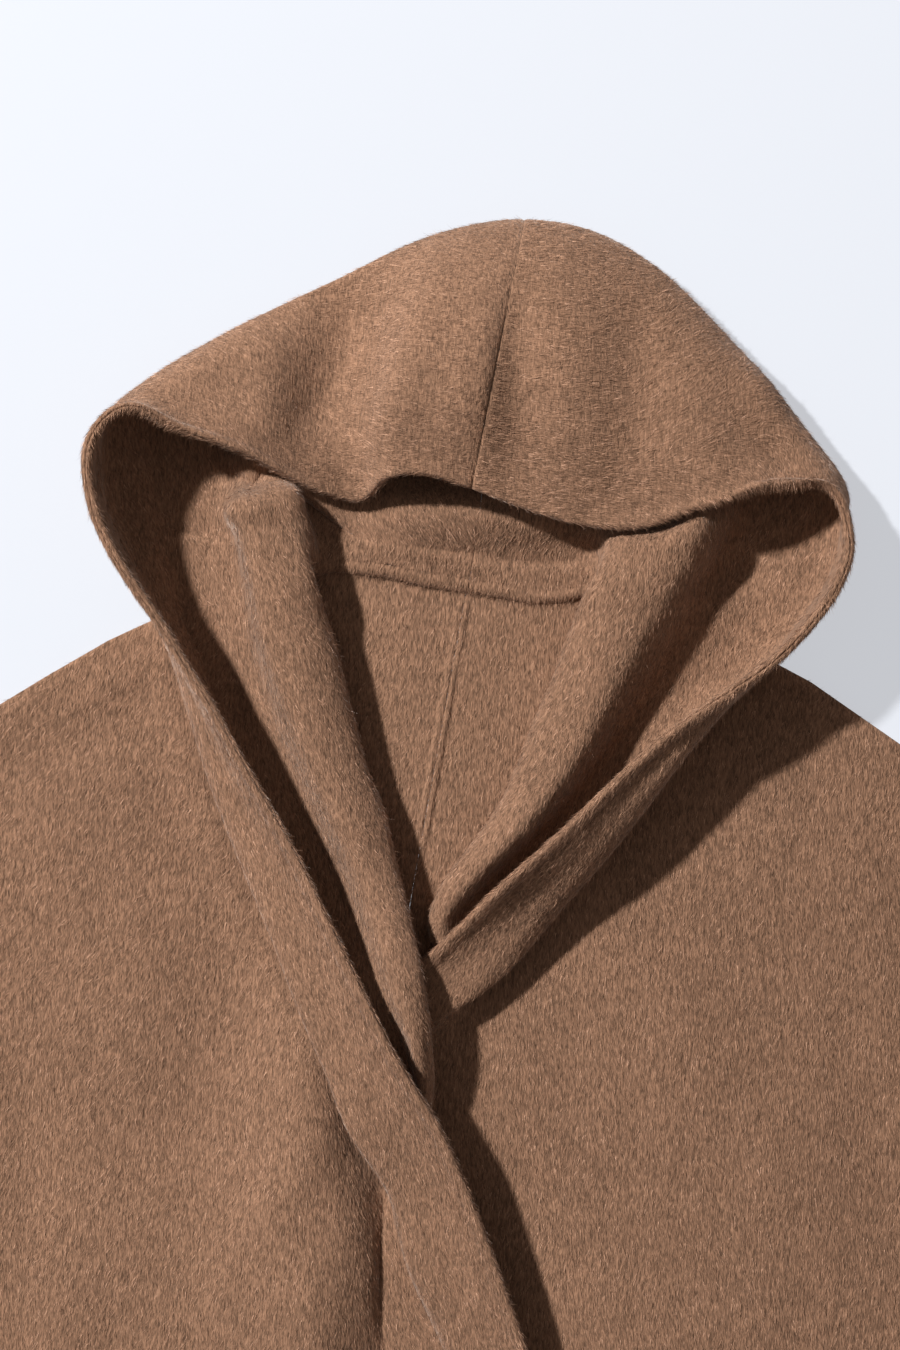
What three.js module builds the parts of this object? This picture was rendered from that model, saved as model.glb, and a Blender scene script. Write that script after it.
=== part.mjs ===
// A hooded wrap coat in double-faced brushed wool, laid flat on its back, face up.
// The right front lies over the left. Each front is cut in one with its half of the hood, so
// the hood's rim runs down the neck and on as the front edge. Units are millimetres: +Y runs
// from the hem to the hood, +X to the wearer's left and +Z up from the surface it lies on.
import * as THREE from 'three';

// ---- driving sizes ----
const cloth = 3; // thickness of the double-faced wool
const seamGap = 0.3; // left between two pieces at a seam
const seamLap = 7; // the hood laps this far over the back at the neck seam
const hemY = -1000; // hem, measured down from the back of the neck
const sleeveHeight = 9.4; // of the flattened sleeve at its middle
const layerLift = 1.9; // least space between the turned-back front and the panel below it
const neckStand = 18; // the cloth stands up from the neck seam at the ends of the seam

// Mid heights of cloth that lies on the surface, on one layer and on two layers.
const firstLayer = cloth / 2;
const secondLayer = firstLayer + cloth + seamGap;
const thirdLayer = secondLayer + cloth + seamGap;

// ---- section tables ----
// Each row is one section through a front and its half of the hood, from the free edge
// inwards: the rim, the band beside it, the outer fold (on the hood, the crown), the valley,
// the crest and edge of the neck roll, and the sewn edge. tuck is how far the cloth turns
// back under the roll's edge, or below zero, how far it runs on towards the sewn edge.
const sectionColumns = [
  'rimX', 'rimY', 'rimZ', 'bandZ', 'foldX', 'foldY', 'foldZ', 'valleyX', 'valleyY', 'valleyZ',
  'crestX', 'crestY', 'crestZ', 'edgeX', 'edgeY', 'tuck', 'seamX', 'seamY',
];

// The hood's centre seam, shared by both halves.
const centreSection = [12, 62, 38, 50, 41, 208, 9, 31, 148, 1.5, 22, 97, 1.5, 16, 45, -16, 10, 4];

const rightSections = [
  centreSection,
  [-10, 69, 41, 49, 13, 205, 9, 9, 147, 1.5, 5, 96, 1.5, 0, 46, -16, -3, 6],
  [-29, 69, 38, 42, -15, 197, 9, -15, 141, 1.5, -16, 94, 1.5, -16, 46, -16, -17, 8],
  [-48, 56, 17, 30, -53, 180, 9, -46, 128, 1.5, -42, 87, 2, -38, 45, -14, -32, 12],
  [-73, 61, 22, 27, -99, 157, 10, -82, 122, 1.5, -70, 88, 6, -56, 44, -8, -47, 14],
  [-112, 80, 37, 33, -141, 133, 12, -114, 98, 2, -100, 80, 26, -84, 60, -4, -63, 15],
  [-149, 94, 46, 40, -169, 114, 15, -128, 82, 3, -112, 64, 32, -80, 47, -13, -72, 13.5],
  [-178, 103, 54, 44, -187, 99, 20, -128, 66, 4, -115, 51, 35, -79, 34, -11, -78, 12.5],
  [-195, 85, 58, 42, -191, 84, 22, -123, 51, 5, -113, 39, 36, -77, 23, -6, -85, 11],
  [-193, 50, 58, 41, -188, 51, 20, -120, 31, 7, -109, 22, 36, -73, 8, -7, -101, 5.5],
  [-181, 23, 57, 41, -177, 24, 24, -116, 6, 8.6, -103, -1, 36, -68, -10, 8, -129, -2],
  [-164, -4, 55, 39, -164, -5, 26, -112, -19, 9, -97, -23, 35, -62, -29, 8, -150, -5],
  [-148, -29, 52, 37, -152, -30, 25, -106, -42, 9, -91, -45, 34, -57, -50, 8, -187, -22],
  [-131, -56, 50, 36, -143, -58, 25, -99, -67, 9, -82, -68, 33, -52, -70, 8, -220, -41],
  [-110, -94, 48, 35, -131, -98, 25, -87, -96, 9, -71, -94, 32, -46, -92, 8, -258, -64],
  [-92, -125, 46, 35, -119, -130, 25, -74, -127, 9, -58, -123, 32, -36, -118, 8, -285, -80],
  [-78, -152, 45, 35, -108, -157, 25, -62, -153, 9.5, -47, -149, 33, -30, -144, 8, -280.8, -130],
  [-63, -183, 47, 36, -95, -187, 28, -51, -182, 17, -38, -178, 38, -23, -172, 6, -276.6, -180],
  [-45, -220, 49, 38, -82, -223, 30, -38, -217, 25, -27, -213, 42, -15, -209, 5, -271.6, -240],
  [-28, -253, 48, 38, -68, -256, 30, -24, -249, 21, -18, -246, 38, -11, -242, 4, -267.4, -290],
  [-7, -287, 45, 35, -55, -290, 28, -20, -282, 17, -15, -281, 22, -11, -278, 4, -264, -330],
  [8, -321, 41, 32, -32, -325, 24, -30, -322, 15.5, -29, -320, 12.5, -29, -318, -3, -266, -380],
  [25, -366, 38, 30, -22, -364, 21.5, -25, -361, 12.6, -30, -360, 11.6, -36, -359, -5, -268, -430],
  [42, -413, 33, 27, -2, -407, 18.5, -12, -406, 12.4, -22, -405, 11, -32, -404, -8, -272, -490],
  [69, -479, 24, 21, 24, -470, 14.5, 8, -468, 11, -4, -467, 10, -16, -466, -12, -279, -580],
  [99, -572, 15, 14, 52, -566, 11, 34, -566, 10, 20, -566, 10, 6, -566, -16, -287, -680],
  [117, -688, 11, 11, 72, -686, 10, 54, -686, 9, 40, -686, 9, 26, -686, -18, -294, -780],
  [120, -825, 10, 10, 76, -825, 9, 58, -825, 9, 44, -825, 9, 30, -825, -20, -298, -880],
  [120, hemY, 9, 9, 76, hemY, 9, 58, hemY, 9, 44, hemY, 9, 30, hemY, -20, -302, hemY],
];

const leftSections = [
  centreSection,
  [41, 51, 35, 45, 77, 202, 9, 62, 148, 1.5, 49, 93, 1.5, 38, 42, -14, 28, 1],
  [74, 42, 33, 41, 110, 184, 9, 93, 132, 1.5, 78, 84, 2, 62, 38, -12, 44, -2],
  [105, 41, 36, 40, 139, 157, 9, 124, 114, 2, 108, 74, 10, 78, 36, -8, 62, -1],
  [137, 52, 38, 39, 167, 123, 9, 151, 84, 3, 132, 56, 28, 88, 37, -16, 78, 3],
  [174, 60, 34, 30, 191, 87, 9, 163, 60, 4, 134, 38, 34, 83, 23, -10, 88, 5],
  [203, 53, 30, 24, 210, 54, 12, 158, 38, 5, 129, 22, 35, 79, 12, -5, 100, 1],
  [217, 32, 36, 28, 213, 31, 15, 149, 17, 6, 119, 7, 36, 73, 1, -5, 116, -5],
  [210, 7, 46, 33, 206, 8, 17, 139, -4, 8, 110, -9, 36, 68, -12, 8, 140, -15],
  [192, -17, 52, 35, 189, -15, 18, 129, -22, 9, 101, -26, 35, 63, -26, 8, 168, -29],
  [175, -34, 51, 37, 175, -35, 24, 117, -41, 9, 91, -44, 34, 57, -43, 8, 198, -45],
  [148, -53, 51, 44, 152, -57, 34, 102, -62, 9, 79, -65, 33, 48, -63, 8, 231, -68],
  [118, -74, 50, 46, 132, -79, 39, 86, -84, 9, 67, -87, 33, 39, -87, 8, 264, -91],
  [88, -101, 49, 44, 110, -108, 35, 68, -108, 9, 52, -110, 33, 29, -110, 8, 285, -107],
  [60, -128, 47, 40, 87, -138, 28, 46, -131, 9, 34, -131, 32, 15, -131, 8, 280.7, -157],
  [30, -155, 42, 33, 60, -169, 22, 22, -155, 9, 13, -153, 27, -3, -155, 7, 276.4, -207],
  [3, -182, 31, 25, 30, -204, 18, 2, -182, 12, -5, -180, 16, -11, -181, 2, 271.7, -262],
  [-20, -204, 20, 19, 0, -225, 18, 1, -223, 14, 3, -221, 11, 6, -220, -4, 267.4, -312],
  [-50, -233, 12, 12, -36, -243, 12, -31, -245, 11, -26, -246, 9.5, -21, -246, -5, 264, -352],
  [-63, -246, 9.5, 9.5, -54, -252, 9, -50, -253, 7.5, -47, -254, 6.4, -43, -255, -4, 265, -390],
  [-90, -280, 5.4, 5.3, -74, -284, 5.2, -66, -285, 5.1, -58, -286, 5, -50, -287, -10, 267, -440],
  [-112, -340, 5, 5, -90, -344, 5, -78, -345, 4.8, -66, -346, 4.8, -54, -347, -14, 270, -500],
  [-120, -440, 5, 5, -92, -446, 5, -78, -448, 4.8, -64, -450, 4.8, -50, -452, -18, 277, -590],
  [-120, -620, 5, 5, -92, -624, 5, -78, -626, 4.8, -64, -628, 4.8, -50, -630, -20, 288, -720],
  [-120, -810, 5, 5, -92, -812, 5, -78, -813, 4.8, -64, -814, 4.8, -50, -815, -20, 296, -860],
  [-120, hemY, 5, 5, -92, hemY, 5, -78, hemY, 4.8, -64, hemY, 4.8, -50, hemY, -20, 302, hemY],
];

// Broad soft folds of the fronts: middle, direction in degrees, half length, half width, rise.
const foldColumns = ['x', 'y', 'turn', 'halfLength', 'halfWidth', 'rise'];
const rightFolds = [
  [-215, -120, 35, 70, 30, 4],
  [-190, -260, 75, 110, 42, 6],
  [-72, -376, 94, 106, 28, 26],
  [-215, -430, 100, 110, 38, 5],
  [-120, -560, 78, 150, 40, 6],
  [-30, -640, 96, 170, 34, 5],
  [-210, -760, 84, 170, 44, 6],
  [60, -830, 92, 140, 30, 4],
];
const leftFolds = [
  [200, -150, 140, 70, 34, 4],
  [120, -250, 128, 90, 36, 4],
  [215, -330, 102, 100, 36, 5],
  [110, -420, 96, 120, 34, 5],
  [225, -560, 86, 150, 38, 6],
  [165, -760, 94, 170, 36, 5],
];

// Where the right front crosses the left front's folds it rides up over them.
const crossingFolds = [
  [-21, -208, 122, 46, 27, 17.5],
  [-54, -244, 130, 38, 32, 7.5],
];

// The left front's hidden edge, under the right front.
const underEdge = [
  [-18, -202], [-42, -226], [-63, -246], [-90, -280], [-112, -340], [-120, -440], [-120, hemY],
];

// The neck seam ends at these rows of the section tables, and the shoulder seam starts.
const rightNeckRows = 9;
const leftNeckRows = 7;

// The right front and its half of the hood are one cloth. It is made as three solids, parted at
// the end of the neck seam and at this row, so that each folded stretch is a simple shape.
const rightLapelRows = 17;

// Sleeve sections from the armhole to the cuff: the upper fold, the under fold and the height.
const sleeveColumns = ['topX', 'topY', 'underX', 'underY', 'height'];
const rightSleeve = [
  [-285, -80, -264, -330, 7],
  [-307, -103, -265, -352, 8.4],
  [-333, -148, -268, -384, sleeveHeight],
  [-358, -212, -273, -420, sleeveHeight],
  [-381, -290, -280, -458, sleeveHeight],
  [-402, -372, -287, -496, sleeveHeight],
  [-421, -450, -294, -532, 8.6],
  [-436, -520, -300, -562, 7.6],
];
const leftSleeve = [
  [285, -107, 264, -352, 7],
  [306, -131, 265, -374, 8.4],
  [330, -175, 268, -406, sleeveHeight],
  [354, -238, 273, -442, sleeveHeight],
  [377, -314, 280, -480, sleeveHeight],
  [398, -394, 287, -518, sleeveHeight],
  [417, -472, 294, -554, 8.6],
  [432, -540, 300, -584, 7.6],
];

// ---- small helpers ----
const mix = (a, b, t) => a + (b - a) * t;
const smooth = (t) => {
  const s = Math.min(Math.max(t, 0), 1);
  return s * s * (3 - 2 * s);
};
const point = (x, y, z) => new THREE.Vector3(x, y, z);
const between = (a, b, t, z) => point(mix(a.x, b.x, t), mix(a.y, b.y, t), z);

// Rows of numbers become objects with the column names.
function readTable(columns, rows) {
  return rows.map((row) => Object.fromEntries(columns.map((name, i) => [name, row[i]])));
}

// Points on a smooth curve through the given points, with `steps[i]` spans after point i.
function curveThrough(points, steps) {
  const curve = new THREE.CatmullRomCurve3(points, false, 'centripetal');
  const spans = points.length - 1;
  const out = [];
  for (let i = 0; i < spans; i++) {
    for (let k = 0; k < steps[i]; k++) out.push(curve.getPoint((i + k / steps[i]) / spans));
  }
  out.push(points[spans].clone());
  return out;
}

// The same on straight spans, for an edge that meets another piece.
function straightThrough(points, steps) {
  const out = [];
  for (let i = 0; i < points.length - 1; i++) {
    for (let k = 0; k < steps[i]; k++) out.push(points[i].clone().lerp(points[i + 1], k / steps[i]));
  }
  out.push(points[points.length - 1].clone());
  return out;
}

// Height added by a table of long soft folds, each a ridge that fades at its ends and sides.
function foldRise(folds, x, y) {
  let rise = 0;
  for (const fold of folds) {
    const turn = THREE.MathUtils.degToRad(fold.turn);
    const along = (x - fold.x) * Math.cos(turn) + (y - fold.y) * Math.sin(turn);
    const across = (y - fold.y) * Math.cos(turn) - (x - fold.x) * Math.sin(turn);
    rise += fold.rise * Math.exp(-((along / fold.halfLength) ** 2) - (across / fold.halfWidth) ** 2);
  }
  return rise;
}

// The two faces of a sheet of cloth: the grid's surface moved half a thickness out on each side.
function clothSides(grid, thickness) {
  const rows = grid.length;
  const columns = grid[0].length;
  const normalAt = (i, j) => {
    const along = grid[Math.min(i + 1, rows - 1)][j].clone().sub(grid[Math.max(i - 1, 0)][j]);
    const across = grid[i][Math.min(j + 1, columns - 1)].clone().sub(grid[i][Math.max(j - 1, 0)]);
    return along.cross(across).normalize();
  };
  return [1, -1].map((side) =>
    grid.map((row, i) =>
      row.map((p, j) => normalAt(i, j).multiplyScalar((side * thickness) / 2).add(p))));
}

// A closed wall of cloth: its two faces, joined all round their border.
function wallGeometry(sides) {
  const rows = sides[0].length;
  const columns = sides[0][0].length;
  const positions = sides.flat(2).flatMap((p) => [p.x, p.y, p.z]);
  const front = (i, j) => i * columns + j;
  const back = (i, j) => rows * columns + i * columns + j;
  const faces = [];
  const quad = (a, b, c, d) => faces.push(a, b, c, a, c, d);
  for (let i = 0; i < rows - 1; i++) {
    for (let j = 0; j < columns - 1; j++) {
      quad(front(i, j), front(i + 1, j), front(i + 1, j + 1), front(i, j + 1));
      quad(back(i, j), back(i, j + 1), back(i + 1, j + 1), back(i + 1, j));
    }
  }
  for (let i = 0; i < rows - 1; i++) {
    const last = columns - 1;
    quad(front(i, 0), back(i, 0), back(i + 1, 0), front(i + 1, 0));
    quad(front(i + 1, last), back(i + 1, last), back(i, last), front(i, last));
  }
  for (let j = 0; j < columns - 1; j++) {
    const last = rows - 1;
    quad(front(0, j), front(0, j + 1), back(0, j + 1), back(0, j));
    quad(front(last, j), back(last, j), back(last, j + 1), front(last, j + 1));
  }
  const geometry = new THREE.BufferGeometry();
  geometry.setAttribute('position', new THREE.Float32BufferAttribute(positions, 3));
  geometry.setIndex(faces);
  return geometry;
}

// ---- the fronts and the hood ----
const rightRows = readTable(sectionColumns, rightSections);
const leftRows = readTable(sectionColumns, leftSections);
const rightFoldRows = readTable(foldColumns, rightFolds);
const leftFoldRows = readTable(foldColumns, leftFolds);
const crossingRows = readTable(foldColumns, crossingFolds);

// x of the hidden left front's edge at a given y.
function underEdgeX(y) {
  const below = underEdge.findIndex((p) => p[1] <= y);
  if (below <= 0) return underEdge[below < 0 ? underEdge.length - 1 : 0][0];
  const [x0, y0] = underEdge[below - 1];
  const [x1, y1] = underEdge[below];
  return mix(x0, x1, (y0 - y) / (y0 - y1));
}

// Mid height of the right front where it lies: on the back, or on the left front.
function rightPanelHeight(x, y) {
  const over = smooth((x - underEdgeX(y) + 65) / 40) * smooth((-185 - y) / 25);
  return secondLayer + (thirdLayer + seamGap - secondLayer) * over + foldRise(crossingRows, x, y);
}

// Mid height of the hood's lower layer: on the surface, or lapped over the back's neck edge.
function neckLineY(x) {
  const line = [...rightRows.slice(1, rightNeckRows + 1).reverse(), ...leftRows.slice(0, leftNeckRows + 1)];
  const next = line.findIndex((row) => row.seamX >= x);
  if (next <= 0) return line[next < 0 ? line.length - 1 : 0].seamY;
  const [a, b] = [line[next - 1], line[next]];
  return mix(a.seamY, b.seamY, (x - a.seamX) / (b.seamX - a.seamX));
}

function hoodHeight(x, y) {
  const above = y - neckLineY(x);
  return mix(firstLayer, secondLayer, smooth((3.2 * seamLap - above) / seamLap));
}

// The folds of a panel fade out towards its sewn edge and under the neck roll.
function loft(folds, t, x, y) {
  return foldRise(folds, x, y) * smooth(t * 8 - 0.4) * smooth((0.88 - t) * 5);
}

const panelSteps = [0.12, 0.26, 0.42, 0.58, 0.74, 0.88, 1];

// The points of one section, from the rim to the sewn edge.
function sectionPoints(row, onHood, panelHeight, folds) {
  const rim = point(row.rimX, row.rimY, row.rimZ);
  const fold = point(row.foldX, row.foldY, row.foldZ);
  const valley = point(row.valleyX, row.valleyY, row.valleyZ);
  const crest = point(row.crestX, row.crestY, row.crestZ);
  const seam = point(row.seamX, row.seamY, secondLayer);
  const edge = point(row.edgeX, row.edgeY, 0);
  const lies = row.crestZ <= 2.5;
  const toCrest = point(row.crestX - row.edgeX, row.crestY - row.edgeY, 0).normalize();
  const foot = edge.clone().addScaledVector(toCrest, row.tuck);
  if (row.tuck < 0) foot.copy(between(edge, seam, Math.min(-row.tuck / edge.distanceTo(seam), 1), 0));
  const run = seam.clone().sub(foot).setZ(0);
  const stand = onHood ? neckStand * smooth((row.crestZ - 24) / 10) : 0;
  foot.z = stand + (onHood ? hoodHeight(foot.x, foot.y) : panelHeight(foot.x, foot.y));
  edge.z = lies ? firstLayer : mix(foot.z, crest.z, 0.62);
  // Height of the layer between the foot and the seam, at the share t of the way.
  const sewnSide = (t, x, y) => {
    if (onHood) return hoodHeight(x, y) + stand * (1 - t);
    return mix(foot.z, panelHeight(x, y), smooth(t * 5)) + loft(folds, t, x, y);
  };
  // A point above that layer, lifted clear of it.
  const clearOf = (p, gap) => {
    const t = p.clone().sub(foot).setZ(0).dot(run) / run.lengthSq();
    if (!onHood && t > 0) p.setZ(Math.max(p.z, sewnSide(t, p.x, p.y) + cloth + gap));
  };
  const band = between(fold, rim, 0.55, row.bandZ);
  const shoulder = between(fold, rim, 0.15, mix(row.foldZ, row.bandZ, 0.55));
  const under = between(fold, valley, 0.22, mix(row.valleyZ, row.foldZ, 0.25));
  clearOf(under, layerLift);
  clearOf(valley, 1.6 * layerLift);
  const points = [rim, band, shoulder, fold, under, valley, crest, edge, foot];
  for (const t of panelSteps) {
    const p = between(foot, seam, t, 0);
    points.push(p.setZ(t < 1 ? sewnSide(t, p.x, p.y) : secondLayer));
  }
  return points;
}

const acrossSteps = [2, 1, 2, 2, 2, 2, 2, 2, 1, 1, 1, 1, 1, 1, 1];
const alongSteps = 2;

// Both halves form one surface, so its walls meet squarely at the hood's centre seam.
function frontsGrid() {
  const right = rightRows.map((row, i) =>
    sectionPoints(row, i <= rightNeckRows, rightPanelHeight, rightFoldRows));
  const left = leftRows.map((row, i) =>
    sectionPoints(row, i <= leftNeckRows, () => secondLayer, leftFoldRows));
  const sections = [...right.reverse(), ...left.slice(1)];
  const profiles = sections.map((points) => curveThrough(points, acrossSteps));
  const steps = profiles.slice(1).map(() => alongSteps);
  const columns = profiles[0].map((_, j) => {
    const line = profiles.map((profile) => profile[j]);
    return j < profiles[0].length - 1 ? curveThrough(line, steps) : straightThrough(line, steps);
  });
  const grid = columns[0].map((_, i) => columns.map((column) => column[i]));
  const centre = (rightRows.length - 1) * alongSteps;
  grid.forEach((row, i) => {
    const onBack = i < centre - rightNeckRows * alongSteps || i > centre + leftNeckRows * alongSteps;
    row.forEach((p) => p.setZ(Math.max(p.z, onBack ? secondLayer : firstLayer)));
  });
  return { grid, centre };
}

// The rows of one half, with its first row drawn back from the centre seam.
function halfGrid(grid, centre, side) {
  const half = side < 0 ? grid.slice(0, centre + 1) : grid.slice(centre);
  const rows = half.map((row) => row.map((p) => p.clone()));
  const seamRow = side < 0 ? rows[rows.length - 1] : rows[0];
  seamRow.forEach((p) => p.setX(p.x + (side * seamGap) / 2));
  return rows;
}

// Both faces between two rows, counted from the hem. The first row is drawn back by the gap, so
// that two stretches of one cloth stand apart.
function stretch(sides, from, to) {
  return sides.map((face) => {
    const part = face.slice(from, to + 1).map((row) => row.map((p) => p.clone()));
    if (from > 0) {
      part[0].forEach((p, j) => {
        const next = part[1][j];
        p.lerp(next, Math.min(seamGap / p.distanceTo(next), 0.5));
      });
    }
    return part;
  });
}

// ---- materials ----
const wool = (color) => new THREE.MeshStandardMaterial({ color, roughness: 0.95, metalness: 0 });

function named(name, geometry, color) {
  const mesh = new THREE.Mesh(geometry, wool(color));
  mesh.name = name;
  return mesh;
}

// ---- the back ----
// One half of the back, flat on the surface: its outline follows the front's sewn edge, and
// the neck edge runs on under the hood.
function backGeometry(rows, neckRows, side) {
  const outline = rows.slice(1).map((row, i) => [row.seamX, row.seamY + (i + 1 < neckRows ? seamLap : 0)]);
  const centreX = rows[0].seamX + (side * seamGap) / 2;
  const lowX = -28 + (side * seamGap) / 2;
  const shape = new THREE.Shape();
  shape.moveTo(centreX, rows[0].seamY + seamLap);
  for (const [x, y] of outline) shape.lineTo(x, y);
  shape.lineTo(lowX, hemY);
  shape.lineTo(lowX, -200);
  shape.closePath();
  return new THREE.ExtrudeGeometry(shape, { depth: cloth, bevelEnabled: false });
}

// ---- the sleeves ----
// A flattened tube: each ring goes along the top from the upper fold and back underneath.
function sleeveGeometry(rows, side) {
  const across = 9;
  const ringPoints = (row, inset) => {
    const ring = [];
    const top = point(row.topX, row.topY, 0);
    const under = point(row.underX, row.underY, 0);
    const width = top.distanceTo(under);
    const half = row.height / 2;
    const low = inset;
    const high = row.height - inset;
    for (let k = 0; k <= across; k++) {
      const t = k / across;
      const s = mix(inset / width, 1 - inset / width, t);
      const round = Math.sqrt(Math.max(0, 1 - (2 * t - 1) ** 8));
      ring.push(between(top, under, s, mix(half, high, round)));
    }
    for (let k = across - 1; k > 0; k--) {
      const t = k / across;
      const s = mix(inset / width, 1 - inset / width, t);
      ring.push(between(top, under, s, low));
    }
    return ring;
  };
  const outer = rows.map((row) => ringPoints(row, 0));
  const inner = rows.map((row) => ringPoints(row, cloth));
  const count = outer[0].length;
  const positions = [...outer, ...inner].flat().flatMap((p) => [p.x, p.y, p.z]);
  const at = (layer, i, k) => (layer * rows.length + i) * count + (k % count);
  const faces = [];
  const quad = (a, b, c, d) => (side < 0 ? faces.push(a, c, b, a, d, c) : faces.push(a, b, c, a, c, d));
  for (let i = 0; i < rows.length - 1; i++) {
    for (let k = 0; k < count; k++) {
      quad(at(0, i, k), at(0, i, k + 1), at(0, i + 1, k + 1), at(0, i + 1, k));
      quad(at(1, i, k), at(1, i + 1, k), at(1, i + 1, k + 1), at(1, i, k + 1));
    }
  }
  const last = rows.length - 1;
  for (let k = 0; k < count; k++) {
    quad(at(0, 0, k), at(1, 0, k), at(1, 0, k + 1), at(0, 0, k + 1));
    quad(at(0, last, k), at(0, last, k + 1), at(1, last, k + 1), at(1, last, k));
  }
  const geometry = new THREE.BufferGeometry();
  geometry.setAttribute('position', new THREE.Float32BufferAttribute(positions, 3));
  geometry.setIndex(faces);
  return geometry;
}

// The armhole end is set off from the body by the seam gap.
function sleeveRows(table, side) {
  const rows = readTable(sleeveColumns, table);
  rows[0].topX += side * seamGap;
  rows[0].underX += side * seamGap;
  return rows;
}

// ---- the coat ----
const { grid, centre } = frontsGrid();
const rightHalf = clothSides(halfGrid(grid, centre, -1), cloth);
const leftHalf = clothSides(halfGrid(grid, centre, 1), cloth);
const hoodStart = centre - rightNeckRows * alongSteps;
const lapelStart = centre - rightLapelRows * alongSteps;
const laid = new THREE.Group();
laid.add(
  named('front_right', wallGeometry(stretch(rightHalf, 0, lapelStart)), 0x936e58),
  named('lapel_right', wallGeometry(stretch(rightHalf, lapelStart, hoodStart)), 0x936e58),
  named('hood_right', wallGeometry(stretch(rightHalf, hoodStart, centre)), 0x936e58),
  named('front_left', wallGeometry(leftHalf), 0x86624e),
  named('back_right', backGeometry(rightRows, rightNeckRows, -1), 0x85604d),
  named('back_left', backGeometry(leftRows, leftNeckRows, 1), 0x85604d),
  named('sleeve_right', sleeveGeometry(sleeveRows(rightSleeve, -1), -1), 0x936e58),
  named('sleeve_left', sleeveGeometry(sleeveRows(leftSleeve, 1), 1), 0x86624e),
);

// The origin is the middle of the coat's box, on the surface that it lies on.
const box = new THREE.Box3().setFromObject(laid);
const middle = box.getCenter(new THREE.Vector3());
laid.position.set(-middle.x, -middle.y, -box.min.z);

const coat = new THREE.Group();
coat.add(laid);
export default coat;
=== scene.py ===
"""The looks of a hooded wrap coat in double-faced brushed wool, laid flat on its back, face up.

Lengths in the tables are millimetres, measured from the back of the neck: +X to the wearer's
left, +Y towards the hood, +Z up from the surface that the coat lies on. Each front is cut in one
with its half of the hood, so one smooth surface through the section tables makes both.
"""
import math

import bpy
import numpy as np
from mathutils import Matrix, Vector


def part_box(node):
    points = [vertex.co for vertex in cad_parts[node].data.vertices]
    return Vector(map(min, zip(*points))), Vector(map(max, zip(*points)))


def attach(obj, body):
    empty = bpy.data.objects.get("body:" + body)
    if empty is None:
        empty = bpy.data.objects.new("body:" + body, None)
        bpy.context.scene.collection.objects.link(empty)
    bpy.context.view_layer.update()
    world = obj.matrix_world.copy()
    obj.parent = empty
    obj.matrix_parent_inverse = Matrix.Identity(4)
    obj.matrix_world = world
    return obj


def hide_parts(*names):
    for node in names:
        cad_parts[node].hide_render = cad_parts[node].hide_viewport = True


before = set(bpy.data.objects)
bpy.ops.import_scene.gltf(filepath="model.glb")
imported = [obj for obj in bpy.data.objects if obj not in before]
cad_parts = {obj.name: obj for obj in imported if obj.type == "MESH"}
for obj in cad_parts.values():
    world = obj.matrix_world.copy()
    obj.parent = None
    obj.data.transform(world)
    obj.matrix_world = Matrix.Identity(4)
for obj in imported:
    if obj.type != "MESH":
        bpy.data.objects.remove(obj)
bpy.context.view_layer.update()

bl_info = {
    "name": "Hooded wrap coat",
    "version": (1, 0, 0),
    "blender": (4, 5, 0),
    "location": "3D View > Sidebar > Coat",
    "description": "Builds a hooded wool coat, laid flat, with its nap, seams and creases",
    "category": "Object",
}

# ---- sizes in millimetres ----
CLOTH = 3.0
SEAM_GAP = 0.3
SEAM_LAP = 7.0
HEM_Y = -1000.0
SLEEVE_HEIGHT = 9.4
LAYER_LIFT = 1.9
NECK_STAND = 18.0
FIRST_LAYER = CLOTH / 2
SECOND_LAYER = FIRST_LAYER + CLOTH + SEAM_GAP
THIRD_LAYER = SECOND_LAYER + CLOTH + SEAM_GAP
CREASE_SINK = 1.5  # how far a crease may press a front down towards the back
VIEW_LOW_Y = -430.0  # below this the cloth is plainer
FINE_ROW = 3.0
PLAIN_ROW = 8.0
RIM_WIDTH = 2.4
CENTRE_SEAM_GAP = 0.04
BACK_SEAM_GAP = 0.05
FLOOR_DROP = 0.2
FLOOR_HALF = 4000.0

# ---- counts ----
ACROSS = (14, 10, 8, 8, 12, 12, 10, 7, 8, 8, 8, 8, 8, 7, 6)  # columns between section points
PANEL_SHARES = (0.12, 0.26, 0.42, 0.58, 0.74, 0.88, 1.0)  # section points from foot to seam
NAP_HAIRS = 190000
BACK_HAIRS = 32000
MAP_CELLS = 600
MAP_CELL = 4.0

# ---- nap sizes ----
LOOSE_SHARE = 0.05
LIE_RANGE = (0.08, 0.42)  # how far a hair stands off the cloth, in radians
LOOSE_RANGE = (0.5, 1.2)
LENGTH_RANGE = (0.6, 1.35)
WIDTH_RANGE = (0.6, 1.3)
HAIR_ROLL = 0.9
HAIR_ROOT = 0.25
TONE_STEPS = (0.3, 0.72, 0.93)
# Tone of hair, share of the wool's colour, paleness added.
HAIR_TONES = (
    ("dark", 0.56, 0.0), ("middle", 0.92, 0.0), ("light", 1.32, 0.01), ("pale", 1.85, 0.05),
)
SHEEN = {"Sheen_Weight": 0.45, "Sheen_Roughness": 0.45, "Sheen_Tint": (1.0, 0.8, 0.68, 1.0)}

# ---- light and camera ----
LAMP_POWER = 1430
LAMP_SIZE = 0.13
LAMP_AWAY = 4.5
LAMP_TURN = math.radians(35)
LAMP_RISE = math.radians(42)
CAMERA_HEIGHT = 3.0
SENSOR = 36
VIEW_TALL = 0.7425  # metres of the surface that the camera sees, from top to foot
VIEW_MIDDLE_Y = -0.04125

# Where the tables' zero lies in the row frame.
SHIFT = np.array([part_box("back_right")[0][0] + 0.302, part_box("back_right")[0][1] + 1.0, 0.0])

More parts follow.
